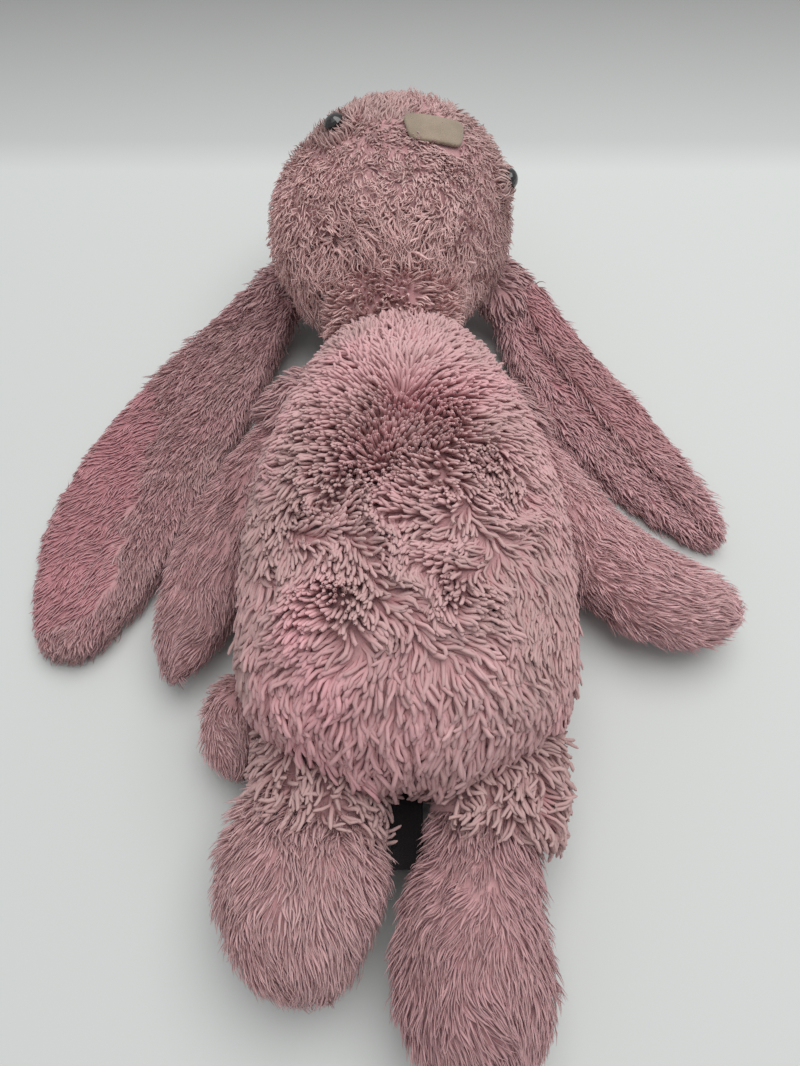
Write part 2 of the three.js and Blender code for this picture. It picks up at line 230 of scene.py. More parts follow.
def cad_mesh(names):
    """One mesh in millimetres holding these CAD nodes."""
    points, faces, base = [], [], 0
    for name in names:
        co, tri, _ = mesh_arrays(NODES[name])
        points.append(co)
        faces.append(tri + base)
        base += len(co)
    return np.concatenate(points), np.concatenate(faces)


def object_from(name, points, faces):
    """A new object from points in millimetres."""
    data = bpy.data.meshes.new(name)
    data.from_pydata((points * MM).tolist(), [], faces.tolist())
    data.update()
    made = bpy.data.objects.new(name, data)
    bpy.context.scene.collection.objects.link(made)
    return made


def applied(made):
    """Puts the result of the object's modifiers into its mesh."""
    graph = bpy.context.evaluated_depsgraph_get()
    result = bpy.data.meshes.new_from_object(made.evaluated_get(graph))
    made.modifiers.clear()
    old = made.data
    made.data = result
    bpy.data.meshes.remove(old)
    return made


def skin_from(name, nodes, voxel, smoothing=6):
    """The closed outer form of some CAD solids as one smooth skin."""
    made = object_from(name, *cad_mesh(nodes))
    remesh = made.modifiers.new("remesh", "REMESH")
    remesh.mode = "VOXEL"
    remesh.voxel_size = voxel * MM
    smooth = made.modifiers.new("smooth", "SMOOTH")
    smooth.factor = 0.5
    smooth.iterations = smoothing
    applied(made)
    made.data.polygons.foreach_set("use_smooth", [True] * len(made.data.polygons))
    return made


def mesh_arrays(made):
    data = made.data
    co = np.zeros(len(data.vertices) * 3)
    data.vertices.foreach_get("co", co)
    normals = np.zeros(len(data.vertices) * 3)
    data.vertex_normals.foreach_get("vector", normals)
    data.calc_loop_triangles()
    tri = np.zeros(len(data.loop_triangles) * 3, int)
    data.loop_triangles.foreach_get("vertices", tri)
    return co.reshape(-1, 3) / MM, tri.reshape(-1, 3), normals.reshape(-1, 3)


def unit(vectors):
    return vectors / np.maximum(np.linalg.norm(vectors, axis=-1, keepdims=True), 1e-9)


def set_points(made, points):
    made.data.vertices.foreach_set("co", (points * MM).ravel())
    made.data.update()


# ---------------------------------------------------------------- pile


WAVES = 7
WAVES_PEAK = 3.2
CANDIDATES = 5  # points tried for each one kept
LEVEL_RATIO = 1.12  # between one size of grid cell and the next
PATH_STEPS = 60


def wave_noise(points, length, seed):
    """Smooth noise, mostly between -1 and 1, with features about every length millimetres."""
    rng = np.random.default_rng(seed)
    total = np.zeros(len(points))
    for _ in range(WAVES):
        direction = unit(rng.normal(size=3))
        scale = 2 * math.pi / (length * rng.uniform(0.7, 1.6))
        total += np.sin(points @ direction * scale + rng.uniform(0, 2 * math.pi))
    return total / WAVES_PEAK


def scattered(made, spacing, rng, keep=None):
    """Points spread over a mesh about spacing millimetres apart, with their normals. spacing may be a
    function of the points."""
    co, tri, normals = mesh_arrays(made)
    corners = co[tri]
    area = np.linalg.norm(np.cross(corners[:, 1] - corners[:, 0], corners[:, 2] - corners[:, 0]), axis=1) / 2
    closest = spacing if not callable(spacing) else spacing(co).min()
    count = int(area.sum() / closest**2 * CANDIDATES)
    picked = rng.choice(len(tri), count, p=area / area.sum())
    shares = rng.random((count, 2))
    flip = shares.sum(1) > 1
    shares[flip] = 1 - shares[flip]
    shares = np.column_stack([1 - shares.sum(1), shares])[:, :, None]
    points = (corners[picked] * shares).sum(1)
    facing = unit((normals[tri[picked]] * shares).sum(1))
    if keep is not None:
        kept = keep(points, facing)
        points, facing = points[kept], facing[kept]
    for offset, share in ((0.0, 1.15), (0.5, 0.85)):
        gap = (np.full(len(points), spacing) if not callable(spacing) else spacing(points)) * share
        level = np.round(np.log(gap / gap.min()) / math.log(LEVEL_RATIO)).astype(int)
        size = gap.min() * LEVEL_RATIO**level
        cells = np.floor(points / size[:, None] + offset).astype(int)
        _, first = np.unique(np.column_stack([level, cells]), axis=0, return_index=True)
        first = rng.permutation(first)
        points, facing = points[first], facing[first]
    return points, facing


def turned(vectors, axes, angle):
    """Vectors turned about unit axes that are square to them."""
    return vectors * np.cos(angle)[:, None] + np.cross(axes, vectors) * np.sin(angle)[:, None]


def grown(points, facing, flow, lift, length, rng, marks, sink=1.5, curl=0.25, wiggle=0.0, rest=0.25):
    """Centre lines (n, steps, 3) of tufts that leave the skin at lift and bend along flow. lift is a
    pair of angles in radians, at the root and at the tip; each may be an array. marks are the shares
    of the length at which the line has a point."""
    count = len(points)
    side = rng.normal(0, curl, count)
    phase = rng.uniform(0, 2 * math.pi, count)
    at = points - facing * sink
    line = [at]
    low, high = (np.broadcast_to(value, count) for value in lift)
    for before, after in zip(marks[:-1], marks[1:]):
        share = (before + after) / 2
        direction = flow(at)
        direction = unit(direction - facing * (direction * facing).sum(1)[:, None])
        direction = turned(direction, facing, side * (0.3 + share) + wiggle * np.sin(phase + 7 * share))
        angle = (low + (high - low) * share)[:, None]
        at = at + (direction * np.cos(angle) + facing * np.sin(angle)) * (length * (after - before))[:, None]
        line.append(at)
    line = np.stack(line, 1)
    line[:, :, 2] = np.maximum(line[:, :, 2], rest)
    return line


def clumped(lines, points, groups, pull):
    """Draws the tips of neighbouring tufts together, one group to each leader."""
    count = len(lines)
    leaders = np.arange(0, count, groups)
    tree = KDTree(len(leaders))
    for place, index in enumerate(leaders):
        tree.insert(points[index], place)
    tree.balance()
    nearest = leaders[np.array([tree.find(p)[1] for p in points])]
    share = np.linspace(0, 1, lines.shape[1])[None, :, None] ** 1.5
    return lines + (lines[nearest] - lines) * share * np.broadcast_to(pull, count)[:, None, None]


def follow(made, rides):
    """Makes a piece move with one body. Given two, as (body, body, start, end), it only bakes the piece's
    place into its mesh.
    """
    if isinstance(rides, str):
        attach(made, rides)
        return
    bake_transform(made)


def pile_mesh(name, lines, back, radius, profile, sides, flat, tone, material, rides):
    """One object of tapered tufts. back points from each tuft to its upper side, radius is per tuft,
    profile per step, flat is its height as a share of its width, and tone (n, 3) holds chance, grey wear
    with painted shade, and bright, in places painted light."""
    count, steps = lines.shape[:2]
    along = unit(np.gradient(lines, axis=1))
    side = unit(np.cross(along, back[:, None, :]))
    up = np.cross(side, along) * flat
    angle = np.arange(sides) * 2 * math.pi / sides
    ring = side[:, :, None] * np.cos(angle)[:, None] + up[:, :, None] * np.sin(angle)[:, None]
    thick = radius[:, None] * np.asarray(profile)[None, :]
    points = lines[:, :, None] + ring * thick[:, :, None, None]
    points[..., 2] = np.maximum(points[..., 2], 0.02)

    index = np.arange(count * steps * sides).reshape(count, steps, sides)
    here, there = index[:, :-1], index[:, 1:]
    quads = np.stack([here, np.roll(here, -1, 2), np.roll(there, -1, 2), there], -1).reshape(-1, 4)
    data = bpy.data.meshes.new(name)
    data.vertices.add(points.size // 3)
    data.vertices.foreach_set("co", (points * MM).astype(np.float32).ravel())
    data.loops.add(quads.size)
    data.loops.foreach_set("vertex_index", quads.astype(np.int32).ravel())
    data.polygons.add(len(quads))
    data.polygons.foreach_set("loop_start", np.arange(0, quads.size, 4, dtype=np.int32))
    data.polygons.foreach_set("use_smooth", np.ones(len(quads), bool))
    data.update(calc_edges=True)

    shares = np.broadcast_to(np.linspace(0, 1, steps)[None, :, None], index.shape)
    stored = np.empty(index.shape + (4,), np.float32)
    stored[..., 0] = shares
    stored[..., 1:] = tone[:, None, None, :]
    attribute = data.attributes.new("pile", "FLOAT_COLOR", "POINT")
    attribute.data.foreach_set("color", stored.ravel())
    strand = np.empty(index.shape + (3,), np.float32)
    strand[..., 0] = np.abs(np.arange(sides) / sides * 2 - 1)
    strand[..., 1] = shares
    strand[..., 2] = np.arange(count)[:, None, None] * 0.37
    data.attributes.new("strand", "FLOAT_VECTOR", "POINT").data.foreach_set("vector", strand.ravel())

    across = int(math.ceil(math.sqrt(count)))
    cell = np.stack([np.arange(count) % across, np.arange(count) // across], 1)
    u = np.arange(sides + 1) / sides
    v = np.linspace(0, 1, steps)
    corner_u = np.stack([u[:-1], u[1:], u[1:], u[:-1]], -1)
    corner_v = np.stack([v[:-1], v[:-1], v[1:], v[1:]], -1)
    place = np.empty((count, steps - 1, sides, 4, 2), np.float32)
    place[..., 0] = (cell[:, 0, None, None, None] + 0.1 + 0.8 * corner_u[None, None]) / across
    place[..., 1] = (cell[:, 1, None, None, None] + 0.1 + 0.8 * corner_v[None, :, None]) / across
    data.uv_layers.new(name="OFBake").data.foreach_set("uv", place.ravel())

    made = bpy.data.objects.new(name, data)
    bpy.context.scene.collection.objects.link(made)
    data.materials.append(material)
    follow(made, rides)


MOST_TRIANGLES = 190000


def pile_pieces(name, lines, back, radius, profile, sides, flat, tone, material, rides, order):
    """The same as pile_mesh, in as many pieces as keep each under the most triangles."""
    each = MOST_TRIANGLES // ((len(profile) - 1) * sides * 2)
    parts = max(1, math.ceil(len(lines) / each))
    ranked = np.argsort(order)
    for number, chosen in enumerate(np.array_split(ranked, parts)):
        label = name if parts == 1 else f"{name}_{number + 1}"
        pile_mesh(
            label, lines[chosen], back[chosen], radius[chosen], profile, sides, flat, tone[chosen],
            material, rides,
        )


# (share of the length, share of the radius) at each step of a tuft
YARN = ((0, 0.9), (0.25, 1), (0.5, 1), (0.75, 1), (0.93, 0.88), (1, 0.3))
LOCK = ((0, 0.8), (0.3, 1), (0.6, 0.85), (0.85, 0.5), (1, 0.08))
HAIR = ((0, 1), (0.4, 1), (0.75, 0.7), (1, 0.1))


def near(points, x, y, reach):
    """1 at (x, y), falling off smoothly over reach millimetres."""
    apart = (points[:, 0] - x) ** 2 + (points[:, 1] - y) ** 2
    return np.exp(-apart / reach**2)


def stroked(points, strokes):
    """Weighted mean of brush strokes (x, y, heading in degrees, reach), as a direction along the skin."""
    total = np.zeros((len(points), 3))
    for x, y, heading, reach in strokes:
        angle = math.radians(heading)
        total += near(points, x, y, reach)[:, None] * np.array([math.cos(angle), math.sin(angle), 0.0])
    return total


def along_path(points, path):
    """For each point: the direction of the nearest stretch of the path, and how far along it lies."""
    path = np.asarray(path, float)
    fine = np.linspace(0, len(path) - 1, PATH_STEPS)
    dense = np.column_stack([np.interp(fine, np.arange(len(path)), path[:, k]) for k in range(3)])
    for _ in range(6):
        dense[1:-1] = (dense[:-2] + dense[1:-1] * 2 + dense[2:]) / 4
    heading = unit(np.gradient(dense, axis=0))
    nearest = ((points[:, None] - dense[None]) ** 2).sum(2).argmin(1)
    return heading[nearest], nearest / (len(dense) - 1), dense[nearest]


# ---------------------------------------------------------------- the toy

# Each pile's root colour is darker than its tip: painted shade deep in the pile.
YARN_PILE = pile_material(
    "pink_yarn_pile",
    root=srgb(186, 138, 141),
    tip=srgb(212, 174, 175),
    wear_and_shade=srgb(186, 158, 155),
    bright=srgb(228, 168, 177),
    twist=1.5,
)
PLUSH = pile_material(
    "pink_brushed_pile",
    root=srgb(188, 145, 148),
    tip=srgb(208, 168, 170),
    wear_and_shade=srgb(198, 170, 167),
    bright=srgb(226, 184, 187),
    twist=0.15,
)
EAR_PLUSH = pile_material(
    "pink_ear_pile",
    root=srgb(177, 133, 137),
    tip=srgb(197, 156, 159),
    wear_and_shade=srgb(188, 158, 156),
    bright=srgb(224, 180, 184),
    twist=0.15,
)
# The face pile's bright colour lightens the lower head and the neck: painted light.
FACE = pile_material(
    "pink_face_pile",
    root=srgb(188, 149, 148),
    tip=srgb(200, 164, 163),
    wear_and_shade=srgb(196, 170, 165),
    bright=srgb(244, 206, 203),
    twist=0.3,
)
LINING = pile_material(
    "rose_velvet_pile",
    root=srgb(180, 128, 134),
    tip=srgb(204, 152, 158),
    wear_and_shade=srgb(190, 150, 151),
    bright=srgb(216, 158, 165),
    twist=0.15,
)
# The backings are darker than the pile's tips, like the roots: painted shade deep in the pile.
BACKING = fabric_material("pink_matted_backing", srgb(172, 128, 131), srgb(200, 160, 161))
LINING_BACKING = fabric_material("rose_matted_backing", srgb(160, 108, 115), srgb(184, 132, 138))
# A darker, greyer copy of the rose velvet pile: painted shade on the right ear's lining.
SHADED_LINING = pile_material(
    "shaded_rose_velvet_pile",
    root=srgb(176, 130, 134),
    tip=srgb(192, 146, 149),
    wear_and_shade=srgb(184, 146, 146),
    bright=srgb(200, 146, 152),
    twist=0.15,
)
THREAD = fabric_material("rose_thread", srgb(110, 74, 78), srgb(140, 100, 104), weave=3000)
SUEDE = fabric_material("taupe_suede", srgb(136, 122, 106), srgb(160, 144, 126), weave=2200, sheen=0.3)

rng = np.random.default_rng(SEED)


def per_point(value, points):
    return value(points) if callable(value) else np.full(len(points), float(value))


def coat(
    name, rides, surface, flow, spacing, lift, length, radius, form, sides=5, flat=1.0, curl=0.3,
    wiggle=0.1, group=6, pull=0.4, keep=None, wear_and_shade=0.3, bright=0.0, material=PLUSH, slot="pink_plush",
    spin=0.0, sink=1.5,
):
    """Grows one kind of pile on a surface. Values may be functions of the points."""
    points, facing = scattered(surface, spacing, rng, keep)

    def combed(at):
        heading = flow(at)
        heading = unit(heading - facing * (heading * facing).sum(1)[:, None])
        return turned(heading, facing, per_point(spin, at))

    marks, profile = zip(*form)
    reach = per_point(length, points) * rng.uniform(0.82, 1.18, len(points))
    root_lift = per_point(lift[0], points) + rng.normal(0, 0.15, len(points))
    tip_lift = per_point(lift[1], points) + rng.normal(0, 0.15, len(points))
    lines = grown(points, facing, combed, (root_lift, tip_lift), reach, rng, marks, sink, curl, wiggle)
    lines = clumped(lines, points, group, per_point(pull, points))
    tone = np.column_stack([
        rng.random(len(points)),
        np.clip(per_point(wear_and_shade, points), 0, 1),
        np.clip(per_point(bright, points), 0, 1),
    ])
    thick = per_point(radius, points) * rng.uniform(0.85, 1.15, len(points))
    back = unit(facing - 0.7 * combed(points))
    pile_pieces(name, lines, back, thick, profile, sides, flat, tone, material, rides, points[:, 1])


def stuffed(name, body, nodes, replaced, voxel, inset, material=BACKING):
    """A closed skin just inside some CAD solids, which it stands for."""
    skin = skin_from(name, nodes, voxel)
    co, _, normals = mesh_arrays(skin)
    set_points(skin, co - normals * inset)
    skin.data.materials.append(material)
    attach(skin, body)
    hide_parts(*replaced)
    return skin


ROOT_RINGS = 15
ROOT_SIDES = 24


def root(name, rides, path, wide, tall):
    """The gathered root of a stuffed part: a closed soft tube between two bodies. path runs along it."""
    marks = np.linspace(0, len(path) - 1, ROOT_RINGS)
    shares = np.arange(len(path))
    middle = np.column_stack([np.interp(marks, shares, values) for values in zip(*path)]) + SHIFT
    half_wide = np.interp(marks, shares, wide)
    half_tall = np.interp(marks, shares, tall)
    along = unit(np.gradient(middle, axis=0))
    side = unit(np.cross(along, [[0.0, 0.0, 1.0]]))
    up = np.cross(side, along)
    angle = np.linspace(0, 2 * math.pi, ROOT_SIDES + 1)[:-1]
    rings = (
        middle[:, None] + side[:, None] * (half_wide[:, None] * np.cos(angle))[..., None]
        + up[:, None] * (half_tall[:, None] * np.sin(angle))[..., None]
    )
    rings[..., 2] = np.maximum(rings[..., 2], 0.6)
    index = np.arange(ROOT_RINGS * ROOT_SIDES).reshape(ROOT_RINGS, ROOT_SIDES)
    here, there = index[:-1], index[1:]
    quads = np.stack([there, np.roll(there, -1, 1), np.roll(here, -1, 1), here], -1).reshape(-1, 4)
    faces = quads.tolist() + [index[0].tolist(), index[-1, ::-1].tolist()]
    data = bpy.data.meshes.new(name)
    data.from_pydata((rings.reshape(-1, 3) * MM).tolist(), [], faces)
    data.update()
    made = bpy.data.objects.new(name, data)
    bpy.context.scene.collection.objects.link(made)
    data.polygons.foreach_set("use_smooth", [True] * len(data.polygons))
    data.materials.append(BACKING)
    follow(made, rides)
    return made


def torso():
    skin = stuffed(
        "torso_skin", "torso",
        ["body_front_panel", "body_back_panel", "body_stuffing", "body_pellet_pouch"],
        ["body_front_panel", "body_back_panel"],
        voxel=3.0, inset=1.0,
    )

    def upright(points):
        tufts = near(points, 4, -9, 27) + 0.9 * near(points, -12, -56, 9) + 0.7 * near(points, 22, -56, 7)
        return np.clip(tufts, 0, 1) * (points[:, 2] > 50)

    def collar(points):
        return np.clip((points[:, 1] - 22) / 25, 0, 1)

    def hem(points):
        open_gap = 1 - near(points, 8, -98, 7)
        return np.clip((-84 - points[:, 1]) / 10, 0, 1) * open_gap

    def matted(points):
        return np.clip(near(points, 47, -20, 26) + near(points, 55, -55, 26), 0, 1)

    def thick(points):
        low = np.clip((-45 - points[:, 1]) / 30, 0, 1)
        return (
            0.58 - 0.06 * upright(points) - 0.06 * collar(points) - 0.13 * matted(points)
            + 0.12 * low * (1 - matted(points))
        )

    strokes = [
        (-20, -10, -165, 16),
        (30, -15, -15, 18),
        (-45, -50, -112, 26),
        (3, -50, -90, 22),
        (48, -50, -75, 26),
        (-20, -85, -105, 26),
        (28, -85, -75, 26),
        (3, -30, -90, 60),
    ]

    def flow(points):
        apart = points - np.array([5.0, 4.0, 0.0])
        apart[:, 2] = 0
        radial = unit(apart) * (1.5 * np.clip((points[:, 1] + 12) / 20, 0, 1))[:, None]
        heading = radial + stroked(points, strokes) + np.array([0.0, -0.01, 0.0])
        heading[:, 2] -= 0.8 * np.linalg.norm(heading, axis=1) * (points[:, 2] < 70)
        return heading

    def swirl(points):
        amount = 0.3 + 1.2 * np.clip(near(points, 2, -45, 30) + near(points, 24, -28, 28), 0, 1)
        waves = 0.8 * wave_noise(points, 30, 11) + 0.7 * wave_noise(points, 15, 12)
        return amount * waves

    def rise(points):
        return np.clip(upright(points) + 0.6 * collar(points) + 0.45 * hem(points), 0, 1)

    coat(
        "torso_pile", "torso", skin, flow,
        spacing=lambda p: (2.15 - 0.25 * upright(p)) * thick(p) + 1.5 * (p[:, 2] < 12),
        lift=(
            lambda p: 0.4 - 0.2 * matted(p) + 1.0 * rise(p),
            lambda p: -0.04 + 1.3 * upright(p) + 0.35 * collar(p),
        ),
        length=lambda p: 9.0 - 3.0 * upright(p) - 1.5 * collar(p) + 7 * hem(p),
        radius=thick, form=YARN, sides=5, flat=0.9, curl=0.3, wiggle=0.32,
        group=6, pull=lambda p: 0.2 + 0.2 * collar(p) + 0.5 * near(p, -42, -20, 24), material=YARN_PILE,
        # Grey wear in patches; the one at the left flank is partly painted shade, the one in the middle of
        # the belly is painted shade, and the dip at the upper chest is painted light.
        wear_and_shade=lambda p: 0.3 - 0.4 * near(p, 6, 6, 26) + 0.9 * near(p, -48, -32, 33)
        + 0.6 * near(p, 52, -50, 28) + 0.5 * near(p, 8, -40, 25)
        + 0.35 * wave_noise(p, 30, 14) + 0.3 * wave_noise(p, 9, 16),
        # Bright: the pinker patch low on the left is the toy's own colour; the lift at the upper chest is
        # painted light.
        bright=lambda p: 0.7 * near(p, -15, -82, 22) + 0.45 * near(p, 6, 6, 24)
        + 0.25 * wave_noise(p, 22, 15),
        spin=swirl, sink=0.8,
    )


def neck():
    """The gathered neck, a soft tube over its thread."""
    path = [(-3, 54, 42), (-3, 67, 43), (-3, 80, 42)]
    skin = root("neck_skin", "neck", path, wide=[19, 21, 24], tall=[15, 16, 18])

    def outward(points):
        return points - np.array([-3 + SHIFT[0], 78 + SHIFT[1], 30])

    # The neck's pile takes the pale face colour (bright=0.6): painted light where the neck lies in shade.
    coat(
        "neck_pile", "neck", skin, outward,
        spacing=1.4, lift=(1.3, 0.7), length=8.0, radius=0.55, form=LOCK, sides=4, flat=0.7, curl=0.4,
        wiggle=0.3, group=5, pull=0.4, material=FACE, wear_and_shade=0.4, bright=0.6,
        spin=lambda p: 0.6 * wave_noise(p, 10, 61),
    )


HEAD_MIDDLE = np.array([-3, 114.5, 40.5])
MOUTH_SINK = 2.6


def head():
    skin = stuffed(
        "head_skin", "head",
        ["head_left_panel", "head_right_panel", "head_gusset", "head_stuffing"],
        ["head_left_panel", "head_right_panel", "head_gusset"],
        voxel=2.5, inset=0.3,
    )
    strokes = [
        (-36, 112, -60, 22),
        (-25, 90, -50, 20),
        (1, 85, -80, 20),
        (29, 90, -110, 20),
        (36, 112, -60, 18),
        (1, 135, 60, 20),
        (1, 70, -90, 22),
    ]

    def flow(points):
        heading = stroked(points, strokes) + np.array([0.0, -0.01, 0.0])
        heading[:, 2] -= 0.7 * np.linalg.norm(heading, axis=1) * (points[:, 2] < 60)
        return heading

    nose = stuffed(
        "nose_patch_skin", "head", ["nose_patch"], ["nose_patch"],
        voxel=0.5, inset=-0.2, material=SUEDE,
    )
    nose_points, _, _ = mesh_arrays(nose)
    nose_middle = nose_points.mean(0)
    nose_half = np.ptp(nose_points, axis=0) / 2
    eyes = [np.array(sum(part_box(node), Vector())) / 2 / MM for node in ("left_eye", "right_eye")]

    def from_eye(points):
        return np.min([np.linalg.norm(points - eye, axis=1) for eye in eyes], axis=0)

    def clear(points, facing):
        apart = np.abs(points - nose_middle)
        free = (apart[:, 0] > nose_half[0] - 2) | (apart[:, 1] > nose_half[1] - 1.5) | (points[:, 2] < 70)
        free |= ((points - nose_middle)[:, :2] @ np.array([0.5, 1.0]) < -5) & (points[:, 2] > 70)
        return free & (from_eye(points) > 3.2)

    def chin(points):
        return np.clip((94 - points[:, 1]) / 12, 0, 1)

    def cheek(points):
        return near(points, -34, 92, 20)

    def parting(points):
        return np.clip(near(points, -6, 124, 14) + near(points, 20, 104, 9), 0, 1)

    def fringe(points, facing):
        return (from_eye(points) > 2.4) & (from_eye(points) < 8)

    def over_eye(points):
        nearest = np.argmin([np.linalg.norm(points - eye, axis=1) for eye in eyes], axis=0)
        return np.array(eyes)[nearest] - points

    # Lightens the lower head and the left jowl toward the pale face colour: painted light where the lower
    # head turns away from the light.
    def lower_head_painted_light(points):
        jowl = 0.7 * near(points, -36, 108, 20)
        return np.clip((112 - points[:, 1]) / 30 + jowl, 0, 1) + 0.1 * wave_noise(points, 20, 25)

    def wear_and_shade(points):
        return 0.5 + 0.35 * wave_noise(points, 22, 24) + 0.4 * near(points, -20, 115, 12)

    def spin(points):
        return 0.7 * wave_noise(points, 16, 21) + 0.9 * wave_noise(points, 7, 22)

    thread, thread_faces, _ = mesh_arrays(NODES["mouth_stitch"])
    crease = KDTree(len(thread))
    for number, place in enumerate(thread):
        crease.insert(place, number)
    crease.balance()

    def by_crease(points):
        return np.exp(-np.array([(crease.find(p)[2] / 2.5) ** 2 for p in points]))

    inward = unit(HEAD_MIDDLE + SHIFT - thread)
    pressed = object_from("mouth_thread", thread + inward * MOUTH_SINK, thread_faces)
    pressed.data.materials.append(THREAD)
    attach(pressed, "head")
    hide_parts("mouth_stitch")
    coat(
        "head_locks", "head", skin, flow,
        spacing=lambda p: 1.25 - 0.3 * parting(p) - 0.2 * chin(p) + 1.1 * (p[:, 2] < 10),
        lift=(lambda p: 0.75 + 0.05 * chin(p) + 0.4 * parting(p), lambda p: 0.6 * parting(p)),
        length=lambda p: 5.0 + 9.0 * chin(p) + 2 * cheek(p) - by_crease(p),
        radius=lambda p: 0.58 + 0.1 * chin(p), form=LOCK, sides=4, flat=0.65, curl=0.6, wiggle=0.5,
        group=5, pull=0.35, keep=clear, material=FACE, wear_and_shade=wear_and_shade, bright=lower_head_painted_light,
        spin=spin,
    )
    coat(
        "head_hairs", "head", skin, flow,
        spacing=lambda p: 1.4 + 1.4 * (p[:, 2] < 10),
        lift=(1.1, 0.3),
        length=lambda p: 6.0 + 8.0 * chin(p) + 2 * cheek(p) - 1.5 * by_crease(p),
        radius=0.27, form=HAIR, sides=3, curl=0.7, wiggle=0.6, group=6, pull=0.5,
        keep=clear, material=FACE, wear_and_shade=wear_and_shade, bright=lower_head_painted_light, spin=spin,
    )
    coat(
        "eye_fringe", "head", skin, over_eye,
        spacing=0.95, lift=(lambda p: 1.4 - 0.25 * (p[:, 0] > 0), lambda p: 0.9 - 0.5 * (p[:, 0] > 0)),
        length=lambda p: 3.3 + 0.5 * from_eye(p) + 1.2 * (p[:, 0] > 0), radius=0.5,
        form=LOCK, sides=4, flat=0.7, curl=0.6, wiggle=0.5, group=3, pull=0.4, keep=fringe,
        material=FACE, wear_and_shade=0.8, spin=lambda p: 0.8 * wave_noise(p, 5, 27),
    )


def limb(name, path, length, wear_and_shade, bright, root_yarn=0.0, material=PLUSH):
    """A stuffed arm, leg or tail. path runs down its middle, in the drawing's millimetres."""
    skin = stuffed(
        f"{name}_skin", name, [f"{name}_top_panel", f"{name}_under_panel", f"{name}_stuffing"],
        [f"{name}_top_panel", f"{name}_under_panel"],
        voxel=2.2, inset=0.8,
    )
    middle = np.array(path, float) + SHIFT

    def flow(points):
        heading, _, centre = along_path(points, middle)
        return heading + 0.02 * (points - centre)

    def at_root(points):
        return root_yarn * np.clip(1 - along_path(points, middle)[1] / 0.35, 0, 1)

    def spin(points):
        return 0.35 * wave_noise(points, 24, 31) + 0.25 * wave_noise(points, 8, 32)

    coat(
        f"{name}_locks", name, skin, flow,
        spacing=lambda p: 1.2 + 0.3 * at_root(p) + 0.9 * (p[:, 2] < 5),
        lift=(lambda p: 0.5 + 0.4 * at_root(p), 0.0),
        length=lambda p: length + 4 * at_root(p),
        radius=lambda p: 0.52 + 0.2 * at_root(p), form=LOCK, sides=4, flat=0.6, curl=0.15, wiggle=0.12,
        group=6, pull=0.3, material=material, wear_and_shade=wear_and_shade, bright=bright, spin=spin,
    )
    coat(
        f"{name}_hairs", name, skin, flow,
        spacing=lambda p: 1.3 + 1.0 * (p[:, 2] < 5),
        lift=(lambda p: 0.75 + 0.3 * at_root(p), 0.15),
        length=lambda p: length + 1 + 4 * at_root(p),
        radius=0.24, form=HAIR, sides=3, curl=0.18, wiggle=0.12, group=8, pull=0.4,
        material=material, wear_and_shade=wear_and_shade, bright=bright, spin=spin,
    )


def leg_root(side, path, start, end):
    """The leg's gathered top, under thick cords that hang from the body's hem."""
    rides = ("torso", f"{side}_leg", start, end)
    skin = root(f"{side}_leg_root", rides, path, wide=[16, 17, 17], tall=[13, 14, 14])

    def down(points):
        heading = np.tile([0.0, -1.0, 0.0], (len(points), 1))
        heading[:, 0] = (points[:, 0] - path[0][0] - SHIFT[0]) / 16
        return heading

    def outer_side(points, facing):
        aside = points[:, 0] - 20 if side == "right" else 4 - points[:, 0]
        return (aside > 0) & (points[:, 1] < -76)

    coat(
        f"{side}_leg_root_pile", rides, skin, down, keep=outer_side,
        spacing=1.7, lift=(1.1, 0.1), length=10.0, radius=0.62, form=YARN, sides=5, flat=0.9, curl=0.5,
        wiggle=0.3, group=4, pull=0.3, material=YARN_PILE, wear_and_shade=1.0,
        spin=lambda p: 0.8 * wave_noise(p, 12, 51),
    )


def facing_away(other, reach):
    """A test that keeps the points from which the other mesh can't be seen straight out."""
    co, tri, _ = mesh_arrays(other)
    tree = BVHTree.FromPolygons(co.tolist(), tri.tolist())

    def kept(points, facing):
        starts = points - facing * 0.5
        return np.array([
            tree.ray_cast(Vector(start), Vector(way), reach)[0] is None for start, way in zip(starts, facing)
        ])

    return kept


